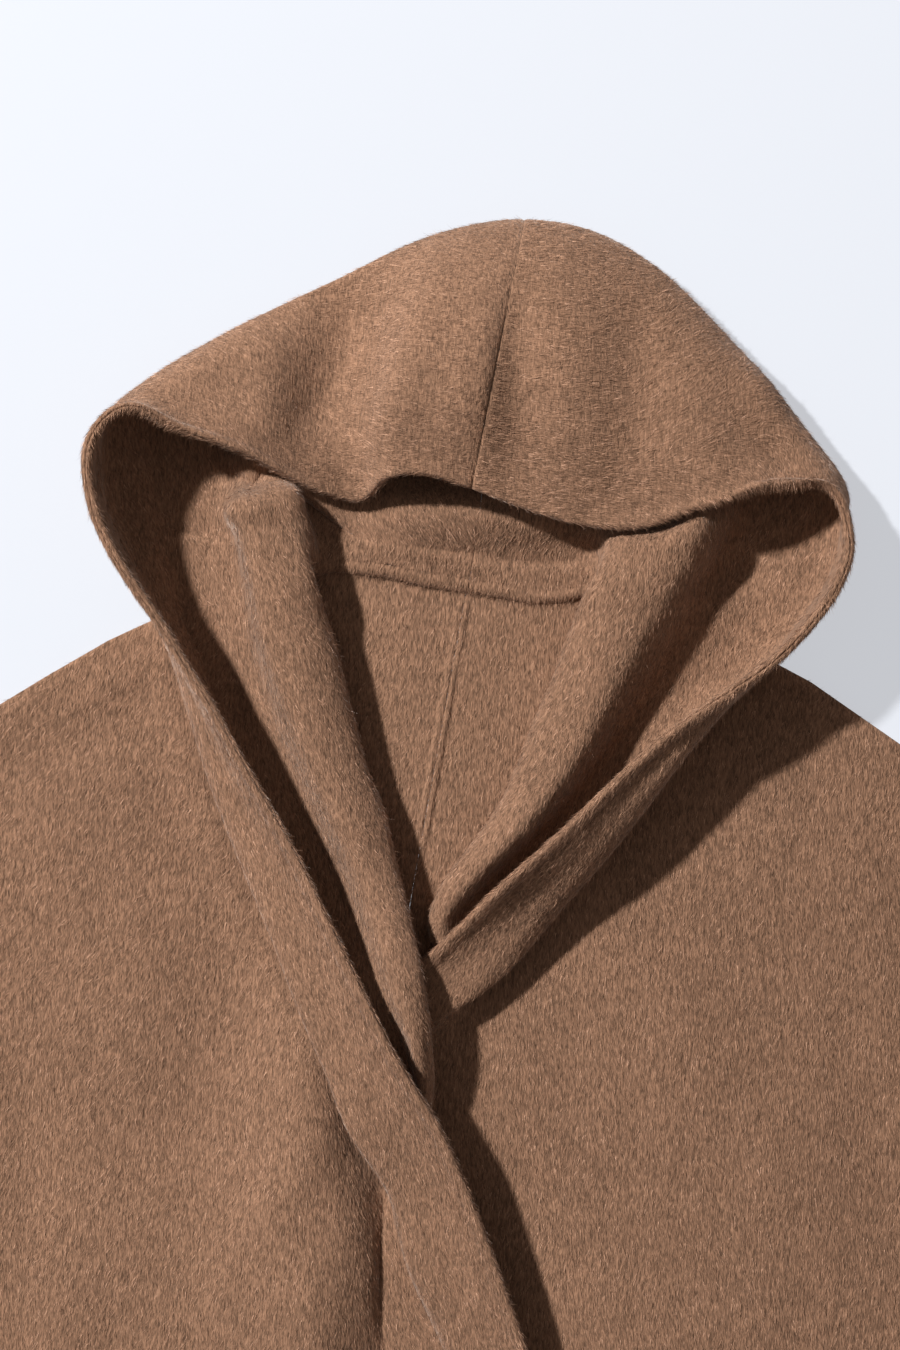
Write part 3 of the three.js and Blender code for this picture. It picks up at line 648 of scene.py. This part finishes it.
def add_mesh(name, points, faces, materials, face_slots=None, soft=True):
    """A mesh object in the row frame, in metres, from points in millimetres and rows of corners."""
    mesh = bpy.data.meshes.new(name)
    points = np.asarray(points, float).reshape(-1, 3) / 1000.0 + SHIFT
    corners = faces[faces >= 0]
    sizes = (faces >= 0).sum(axis=1)
    mesh.vertices.add(len(points))
    mesh.vertices.foreach_set("co", points.astype(np.float32).ravel())
    mesh.loops.add(len(corners))
    mesh.loops.foreach_set("vertex_index", corners.astype(np.int32))
    mesh.polygons.add(len(faces))
    mesh.polygons.foreach_set("loop_start", (np.cumsum(sizes) - sizes).astype(np.int32))
    for material in materials:
        mesh.materials.append(material)
    if face_slots is not None:
        mesh.polygons.foreach_set("material_index", face_slots.astype(np.int32))
    mesh.polygons.foreach_set("use_smooth", np.full(len(faces), soft))
    mesh.update(calc_edges=True)
    mesh.validate()
    made = bpy.data.objects.new(name, mesh)
    bpy.context.scene.collection.objects.link(made)
    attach(made, "root")
    return made


# ---- nap ----
def soft_noise(x, y, period, rng):
    """Smooth random patches from 0 to 1: a lattice of draws, blended by distance."""
    lattice = rng.random((97, 89))
    u, v = x / period + 4000, y / period + 4000
    i, j = np.floor(u).astype(int), np.floor(v).astype(int)
    a, b = smooth(u - i), smooth(v - j)

    def at(di, dj):
        return lattice[(i + di) % 97, (j + dj) % 89]

    return mix(mix(at(0, 0), at(1, 0), a), mix(at(0, 1), at(1, 1), a), b)


def comb_direction(half, places, x, y):
    """The combed direction at each point: the table's directions on the same half and layer,
    weighted by how near they are."""
    direction = np.zeros((len(x), 2))
    layer = np.where(places < 3.3, "band", np.where(places < 7.7, "inside", "panel"))
    for (row_half, row_layer), rows in COMB.items():
        for row_x, row_y, turn in rows if row_half == half else ():
            near = 1 / ((x - row_x) ** 2 + (y - row_y) ** 2 + 300) ** 1.5 * (layer == row_layer)
            angle = math.radians(turn)
            direction += near[:, None] * np.array([math.cos(angle), math.sin(angle)])
    return np.arctan2(direction[:, 1], direction[:, 0])


def envelope_cells(points):
    """Indices of the height map's cells under the points."""
    cells = (points[..., :2] / MAP_CELL + MAP_CELLS // 2).astype(int)
    return tuple(np.moveaxis(np.clip(cells, 0, MAP_CELLS - 1), -1, 0))


def envelope(all_rings):
    """A height map of the highest cloth over each cell."""
    top = np.zeros((MAP_CELLS, MAP_CELLS))
    for rings in all_rings:
        points = rings.reshape(-1, 3)
        np.maximum.at(top, envelope_cells(points), points[:, 2])
    return top


def nap_weight(points, normal, places, top):
    """How thickly hairs stand: most where the cloth shows from above, few under other cloth, and
    fewer again low on the coat."""
    up = smooth((normal[..., 2] + 0.35) / 0.3)
    shown = np.where(points[..., 2] > top[envelope_cells(points)] - 9, 1.0, 0.04)
    low = mix(0.1, 1.0, smooth((points[..., 1] + 450) / 40))
    wide = mix(1.0, 0.1, smooth((np.abs(points[..., 0]) - 255) / 12))
    rim = 1 + 0.8 * (places < 0.6)
    return up * shown * low * wide * rim


def hairs(rings, places, half, turn, count, top, rng):
    """Loose hairs of the nap, as one triangle each, and their tones.

    Faces of the rings are drawn by area and weight. A hair lies along the combed direction,
    swung by soft patches of noise so that neighbours clump, lifted off the cloth and rolled about
    its own length.
    """
    sizes = settings()[0]
    after = np.roll(rings, -1, axis=1)
    around = after - np.roll(rings, 1, axis=1)
    normals = unit(np.cross(around, np.gradient(rings, axis=0))) * turn
    a, b, c, d = rings[:-1], after[:-1], after[1:], rings[1:]
    area = np.linalg.norm(np.cross(c - a, d - b), axis=-1) / 2
    weight = area * nap_weight((a + c) / 2, normals[:-1], places[None, :], top)
    picked = np.searchsorted(weight.cumsum(), rng.random(count) * weight.sum())
    i, k = np.divmod(np.minimum(picked, weight.size - 1), rings.shape[1])
    next_k = (k + 1) % rings.shape[1]
    u, v = rng.random((2, count, 1))

    def blend(field):
        low = mix(field[i, k], field[i, next_k], u)
        return mix(low, mix(field[i + 1, k], field[i + 1, next_k], u), v)

    root, normal = blend(rings), unit(blend(normals))
    x, y = root[:, 0], root[:, 1]
    angle = comb_direction(half, places[k], x, y)
    angle += (soft_noise(x, y, 4.5, rng) - 0.5) * 0.5 + (soft_noise(x, y, 17, rng) - 0.5) * 0.5
    angle += rng.normal(0, 0.16, count)
    combed = np.column_stack([np.cos(angle), np.sin(angle), np.zeros(count)])
    flat = unit(combed - normal * (combed * normal).sum(axis=1, keepdims=True))
    loose = rng.random(count) < LOOSE_SHARE
    stray = rng.uniform(*LOOSE_RANGE, count)
    lift = np.where(loose, stray, rng.uniform(*LIE_RANGE, count))[:, None]
    reach = sizes.nap_length * 1000 * rng.uniform(*LENGTH_RANGE, count)[:, None]
    along = flat * np.cos(lift) + normal * np.sin(lift)
    roll = rng.uniform(-HAIR_ROLL, HAIR_ROLL, count)[:, None]
    side = unit(np.cross(along, normal))
    side = side * np.cos(roll) + np.cross(side, along) * np.sin(roll)
    thick = sizes.nap_width * 1000 * np.where(loose, 0.6, 1.0)[:, None]
    thick = thick * rng.uniform(*WIDTH_RANGE, count)[:, None]
    root = root - normal * HAIR_ROOT
    corners = [root - side * thick / 2, root + side * thick / 2, root + along * reach]
    points = np.stack(corners, axis=1)
    points[..., 2] = np.maximum(points[..., 2], 0.2)
    facing = unit(np.cross(points[:, 1] - points[:, 0], points[:, 2] - points[:, 0]))
    facing *= np.where((facing * normal).sum(axis=1, keepdims=True) < 0, -1.0, 1.0)
    shading = unit(mix(normal, facing, 0.6))
    tone = soft_noise(x, y, 1.5, rng) * 0.4 + soft_noise(x, y, 9, rng) * 0.08
    tone += rng.random(count) * 0.52
    slots = np.digitize(tone, np.quantile(tone, TONE_STEPS))
    return points, np.where(loose, 2, slots), shading


def add_nap(name, points, slots, shading, materials):
    """The hairs as one mesh, shaded mostly as the cloth that they lie on."""
    faces = np.arange(points.shape[0] * 3).reshape(-1, 3)
    nap = add_mesh(name, points, faces, materials, slots)
    nap.data.normals_split_custom_set_from_vertices(np.repeat(shading, 3, axis=0).tolist())
    return nap


# ---- materials ----
class Value:
    """A shader socket with ordinary arithmetic, so that formulas read as formulas."""

    def __init__(self, tree, socket):
        self.tree, self.socket = tree, socket

    def _maths(self, operation, first, second):
        made = self.tree.add("ShaderNodeMath", {"operation": operation}, {0: first, 1: second})
        return made["Value"]

    def __add__(self, other):
        return self._maths("ADD", self, other)

    def __radd__(self, other):
        return self._maths("ADD", other, self)

    def __sub__(self, other):
        return self._maths("SUBTRACT", self, other)

    def __rsub__(self, other):
        return self._maths("SUBTRACT", other, self)

    def __mul__(self, other):
        return self._maths("MULTIPLY", self, other)

    def __rmul__(self, other):
        return self._maths("MULTIPLY", other, self)


class Shader:
    """A material's node tree, with one method for adding nodes."""

    def __init__(self, name):
        self.material = bpy.data.materials.new(name)
        self.material.use_nodes = True
        self.nodes = self.material.node_tree.nodes
        self.links = self.material.node_tree.links
        self.surface = self.nodes["Principled BSDF"]

    def link(self, value, socket):
        """Puts a number, colour or linked socket into a socket."""
        if isinstance(value, Value):
            self.links.new(value.socket, socket)
        else:
            socket.default_value = value

    def add(self, kind, settings=None, inputs=None):
        """A node of that type with its settings and its socket values or links."""
        node = self.nodes.new(kind)
        for key, setting in (settings or {}).items():
            setattr(node, key, setting)
        for key, value in (inputs or {}).items():
            self.link(value, node.inputs[key])
        return {socket.name: Value(self, socket) for socket in node.outputs if socket.enabled}

    def set(self, **inputs):
        """Values or links for the surface's own sockets, with spaces written as underscores."""
        for key, value in inputs.items():
            self.link(value, self.surface.inputs[key.replace("_", " ")])


def colour(values, share=1.0):
    """A colour with full alpha, dimmed to a share of itself."""
    return (values[0] * share, values[1] * share, values[2] * share, 1.0)


def wool_material(name, tint):
    """Brushed wool under its nap: fine short mottling in colour and surface, over soft patches."""
    shader = Shader(name)
    place = shader.add("ShaderNodeTexCoord")["Object"]
    stretch = {"Vector": place, "Scale": (1.0, 0.24, 1.0)}
    long_way = shader.add("ShaderNodeMapping", {}, stretch)["Vector"]

    def noise(scale, detail):
        inputs = {"Vector": long_way, "Scale": scale, "Detail": detail, "Distortion": 0.4}
        return shader.add("ShaderNodeTexNoise", {}, inputs)["Fac"]

    fine, tufts, patches = noise(1300.0, 1.0), noise(620.0, 2.0), noise(28.0, 2.0)
    tone = fine * 0.45 + tufts * 0.42 + patches * 0.13
    span = {"Value": tone, "From Min": 0.36, "From Max": 0.64}
    share = shader.add("ShaderNodeMapRange", {}, span)["Result"]
    shade = shader.add("ShaderNodeMix", {"data_type": "RGBA"},
                       {"Factor": share, 6: colour(tint, 0.36), 7: colour(tint, 1.14)})
    height = shader.add("ShaderNodeBump", {}, {"Height": fine * 0.4 + tufts * 0.9, "Strength": 0.8,
                                              "Distance": 0.0012})["Normal"]
    shader.set(Base_Color=shade["Result"], Roughness=0.95, Normal=height, Specular_IOR_Level=0.1)
    shader.set(**SHEEN)
    return shader.material


def nap_materials(tint):
    """Four tones of hair, dark to pale."""
    return [hair_material(f"hair_{word}", [share * v + pale for v in tint])
            for word, share, pale in HAIR_TONES]


def hair_material(name, tint):
    """One tone of the nap's loose hairs."""
    shader = Shader(name)
    shader.set(Base_Color=colour(tint), Roughness=0.9, Specular_IOR_Level=0.12)
    shader.set(**SHEEN)
    return shader.material


# ---- settings ----
class CoatSizes(bpy.types.PropertyGroup):
    """Sizes that a user would change."""

    cloth: bpy.props.FloatProperty(
        name="Cloth", description="Thickness of the wool", default=CLOTH / 1000, unit="LENGTH")
    rim: bpy.props.FloatProperty(
        name="Rim", description="Thickness of the felled front edge", default=0.0054, unit="LENGTH")
    nap_length: bpy.props.FloatProperty(
        name="Nap length", description="Length of the nap's hairs", default=0.0042, unit="LENGTH")
    nap_width: bpy.props.FloatProperty(
        name="Hair width", description="Width of a tuft of hairs", default=0.00033, unit="LENGTH")
    seed: bpy.props.IntProperty(
        name="Seed", description="Start of the random draws for the nap", default=7)


class CoatColours(bpy.types.PropertyGroup):
    """Colours that a user would change."""

    wool: bpy.props.FloatVectorProperty(
        name="Wool", description="Colour of the cloth", default=(0.30, 0.165, 0.1),
        subtype="COLOR", min=0, max=1)
    floor: bpy.props.FloatVectorProperty(
        name="Floor", description="Colour of the floor", default=(0.25, 0.262, 0.285),
        subtype="COLOR", min=0, max=1)


def settings():
    """The sizes and colours of this scene."""
    return bpy.context.scene.coat_sizes, bpy.context.scene.coat_colours


def half_walls():
    """The rings, places and end faces of the right front and of the left front."""
    sizes = settings()[0]
    grid, centre, column = fronts_grid()
    halves = {}
    for word, side in (("right", -1), ("left", 1)):
        half = (grid[:centre + 1][::-1] if side < 0 else grid[centre:]).copy()
        half[0, :, 0] += side * CENTRE_SEAM_GAP
        half, share = rounded_end(half)
        if side < 0:
            half, share = half[::-1], share[::-1]
        halves[word] = wall_rings(half, column, share, sizes.cloth * 500, sizes.rim * 500)
    return halves


def closed_wall(name, rings, ends, materials, flip):
    """Rings of cloth as a mesh, with both ends closed."""
    rows, count = rings.shape[:2]
    ends = as_polygons(ends)
    last = np.where(ends >= 0, ends + (rows - 1) * count, -1)[:, ::-1]
    faces = np.concatenate([ring_faces(rows, count), ends, last])
    return add_mesh(name, rings, faces[:, ::-1] if flip else faces, materials)


class CoatFronts(bpy.types.Operator):
    """Add both fronts, each in one with its half of the hood, and their nap"""

    bl_idname = "coat.fronts"
    bl_label = "Fronts and hood"

    def execute(self, context):
        sizes, colours = settings()
        wool = wool_material("brushed_wool", colours.wool)
        tones = nap_materials(colours.wool)
        rng = np.random.default_rng(sizes.seed)
        walls = half_walls()
        top = envelope([rings for rings, *_ in walls.values()])
        nodes = {"right": ("front_right", "lapel_right", "hood_right"), "left": ("front_left",)}
        for word, (rings, places, ends) in walls.items():
            piece = closed_wall(f"coat_front_{word}", rings, ends, [wool], False)
            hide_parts(*nodes[word])
            drawn = hairs(rings, places, word, 1, NAP_HAIRS, top, rng)
            nap = add_nap(f"nap_front_{word}", *drawn, tones)
        return {"FINISHED"}


class CoatBack(bpy.types.Operator):
    """Add the two halves of the back, with the nap that shows between the neck rolls"""

    bl_idname = "coat.back"
    bl_label = "Back"

    def execute(self, context):
        sizes, colours = settings()
        wool = wool_material("brushed_wool_back", colours.wool)
        tones = nap_materials(colours.wool)
        rng = np.random.default_rng(sizes.seed + 1)
        halves = (("right", RIGHT_SECTIONS, RIGHT_NECK_ROWS, -1, (0.30, 1.01), 0.255),
                  ("left", LEFT_SECTIONS, LEFT_NECK_ROWS, 1, (0.33, 1.01), 0.297))
        for word, table, neck_rows, side, flat, area in halves:
            rings, places, ends = back_rings(table, neck_rows, side)
            piece = closed_wall(f"coat_back_{word}", rings, ends, [wool], side > 0)
            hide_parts(f"back_{word}")
            shown = rings[:, :rings.shape[1] // 2]
            near = np.linalg.norm(shown.mean(axis=1)[:, :2] - np.array([0, -60]), axis=1) < 190
            open_above = np.zeros((MAP_CELLS, MAP_CELLS))
            drawn = hairs(rings[near], places, "back", -side, BACK_HAIRS, open_above, rng)
            nap = add_nap(f"nap_back_{word}", *drawn, tones)
        return {"FINISHED"}


def back_rings(table, neck_rows, side):
    """Closed rings of one half of the back, row by row from the neck to the hem, each from the
    centre seam out to the sewn edge along the top and back underneath.

    The centre seam is felled: a low ridge with a fine line on each side, where it shows.
    """
    rows = np.array(table, float)
    outline = rows[:, SEAM].copy()
    outline[:neck_rows, 1] += SEAM_LAP
    last_shoulder = 15 if side < 0 else 13
    middle_y = outline[:, 1].copy()
    middle_y[:last_shoulder + 1] = np.interp(
        np.arange(last_shoulder + 1), [0, neck_rows, last_shoulder], [outline[0, 1], -12, -100])
    middle_x = np.interp(-middle_y, [-outline[0, 1], 200, -HEM_Y], [outline[0, 0], -28, -28])
    outline[0, 0] += side * BACK_SEAM_GAP
    middle = np.column_stack([middle_x + side * BACK_SEAM_GAP, middle_y])
    apart = np.linalg.norm(np.diff(outline, axis=0), axis=1)
    steps = np.ceil(apart / 4.0).astype(int)
    steps[last_shoulder:] = np.ceil(apart[last_shoulder:] / 9.0)
    inner, outer = straight(middle, steps), straight(outline, steps)
    share = np.concatenate([np.array([0, 0.25, 0.6, 1.2, 2.0, 2.8, 3.3, 3.8, 4.4, 5.4, 7.0]) / 290,
                            np.linspace(10, 90, 24) / 290, np.linspace(0.35, 1, 18)])
    grid = mix(inner[:, None], outer[:, None], share[None, :, None])
    from_seam = np.abs(grid[..., 0] - inner[:, None, 0])
    ridge = 0.8 * smooth((4.0 - from_seam) / 2.0) - 0.35 * np.exp(-((from_seam - 4.4) / 0.8) ** 2)
    ridge -= 0.4 * np.exp(-(from_seam / 0.6) ** 2)
    shown = smooth((grid[..., 1] + 150) / 20) * smooth((2 - grid[..., 1]) / 6)
    high = CLOTH + ridge * shown
    top = np.concatenate([grid, high[..., None]], axis=-1)
    base = np.concatenate([grid, np.zeros(grid.shape[:2] + (1,))], axis=-1)
    rings = np.concatenate([top, base[:, ::-1]], axis=1)
    count = rings.shape[1]
    k = np.arange(count // 2 - 1)
    ends = np.stack([k + 1, k, count - 1 - k, count - 2 - k], axis=-1)
    return rings, np.full(count, 12.0), ends


def sleeve_rings(table):
    """Closed rings of a flattened sleeve, as outer points and inner points."""
    rows = np.array(table, float)
    fine = through(np.column_stack([rows[:, :2], rows[:, 4]]), [10] * (len(rows) - 1))
    under = through(np.column_stack([rows[:, 2:4], rows[:, 4]]), [10] * (len(rows) - 1))
    top_xy, under_xy, height = fine[:, :2], under[:, :2], fine[:, 2]
    width = np.linalg.norm(top_xy - under_xy, axis=1)
    turn = np.linspace(0, np.pi, 41)
    layers = []
    for inset in (0.0, CLOTH):
        share = mix(inset / width[:, None], 1 - inset / width[:, None], (1 - np.cos(turn)) / 2)
        swell = np.sqrt(np.maximum(0, 1 - np.abs(np.cos(turn)) ** 8))
        high = mix(height[:, None] / 2, height[:, None] - inset, swell)
        low = mix(height[:, None] / 2, inset, swell)
        xy = mix(top_xy[:, None], under_xy[:, None], share[..., None])
        upper = np.concatenate([xy, high[..., None]], axis=-1)
        lower = np.concatenate([xy, low[..., None]], axis=-1)[:, -2:0:-1]
        layers.append(np.concatenate([upper, lower], axis=1))
    return layers


class CoatSleeves(bpy.types.Operator):
    """Add the two sleeves, flattened and open at the cuff"""

    bl_idname = "coat.sleeves"
    bl_label = "Sleeves"

    def execute(self, context):
        wool = wool_material("brushed_wool_sleeve", settings()[1].wool)
        for word, table, area in (("right", RIGHT_SLEEVE, 0.1), ("left", LEFT_SLEEVE, 0.095)):
            outer, inner = sleeve_rings(table)
            rings = np.concatenate([outer, inner[::-1]])
            rows, count = rings.shape[:2]
            join = np.arange(count)
            after = (join + 1) % count
            last = (rows - 1) * count
            seam = np.stack([last + join, last + after, after, join], axis=-1)
            faces = np.concatenate([ring_faces(rows, count), seam])
            faces = faces if word == "right" else faces[:, ::-1]
            piece = add_mesh(f"coat_sleeve_{word}", rings, faces, [wool])
            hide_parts(f"sleeve_{word}")
        return {"FINISHED"}


class CoatStage(bpy.types.Operator):
    """Add the floor, the light and the camera"""

    bl_idname = "coat.stage"
    bl_label = "Floor, light and camera"

    def execute(self, context):
        shader = Shader("pale_floor")
        place = shader.add("ShaderNodeTexCoord")["Object"]
        grain = shader.add("ShaderNodeTexNoise", {}, {"Vector": place, "Scale": 40.0})["Fac"]
        tint = settings()[1].floor
        shade = shader.add("ShaderNodeMix", {"data_type": "RGBA"},
                           {"Factor": grain, 6: colour(tint, 0.99), 7: colour(tint)})
        shader.set(Base_Color=shade["Result"], Roughness=0.9, Specular_IOR_Level=0.1,
                   Emission_Color=(0.895, 0.922, 0.983, 1.0), Emission_Strength=0.57)
        square = np.array([[-1, -1], [1, -1], [1, 1], [-1, 1]]) * FLOOR_HALF
        corners = np.column_stack([square, np.full(4, -FLOOR_DROP)])
        floor = add_mesh("floor", corners, np.array([[0, 1, 2, 3]]), [shader.material], soft=False)

        world = bpy.data.worlds.new("pale_room")
        context.scene.world = world
        world.use_nodes = True
        background = world.node_tree.nodes["Background"]
        background.inputs["Color"].default_value = (1.0, 0.92, 0.88, 1.0)
        background.inputs["Strength"].default_value = 0.23

        lamp_light = bpy.data.lights.new("studio_lamp", "POINT")
        lamp_light.energy = LAMP_POWER
        lamp_light.shadow_soft_size = LAMP_SIZE
        lamp = bpy.data.objects.new("studio_lamp", lamp_light)
        level = math.cos(LAMP_RISE)
        across, along = math.cos(LAMP_TURN) * level, -math.sin(LAMP_TURN) * level
        travel = np.array([across, along, -math.sin(LAMP_RISE)])
        lamp.location = (SHIFT + np.array([0.0, 0.1, 0.0]) - travel * LAMP_AWAY).tolist()
        context.scene.collection.objects.link(lamp)

        lens = bpy.data.cameras.new("camera")
        camera = bpy.data.objects.new("camera", lens)
        camera.location = (float(SHIFT[0]), float(SHIFT[1]) + VIEW_MIDDLE_Y, CAMERA_HEIGHT)
        lens.sensor_fit = "VERTICAL"
        lens.sensor_height = SENSOR
        lens.lens = SENSOR * CAMERA_HEIGHT / VIEW_TALL
        context.scene.collection.objects.link(camera)
        context.scene.camera = camera
        context.scene.view_settings.view_transform = "Standard"
        return {"FINISHED"}


class CoatPanel(bpy.types.Panel):
    """The coat's operators and settings in the sidebar"""

    bl_idname = "COAT_PT_panel"
    bl_label = "Hooded coat"
    bl_space_type = "VIEW_3D"
    bl_region_type = "UI"
    bl_category = "Coat"

    def draw(self, context):
        for operator in OPERATORS:
            self.layout.operator(operator.bl_idname)
        for group in (context.scene.coat_sizes, context.scene.coat_colours):
            for name in group.__annotations__:
                self.layout.prop(group, name)


OPERATORS = (CoatFronts, CoatBack, CoatSleeves, CoatStage)
CLASSES = (CoatSizes, CoatColours, *OPERATORS, CoatPanel)


def register():
    """Registers the classes and hangs the settings on the scene."""
    for kind in CLASSES:
        bpy.utils.register_class(kind)
    bpy.types.Scene.coat_sizes = bpy.props.PointerProperty(type=CoatSizes)
    bpy.types.Scene.coat_colours = bpy.props.PointerProperty(type=CoatColours)


def unregister():
    """Takes the settings and classes away again."""
    del bpy.types.Scene.coat_colours
    del bpy.types.Scene.coat_sizes
    for kind in reversed(CLASSES):
        bpy.utils.unregister_class(kind)


def main():
    """Builds the coat and its stage."""
    register()
    bpy.ops.coat.fronts()
    bpy.ops.coat.back()
    bpy.ops.coat.sleeves()
    bpy.ops.coat.stage()


if __name__ == "__main__":
    main()
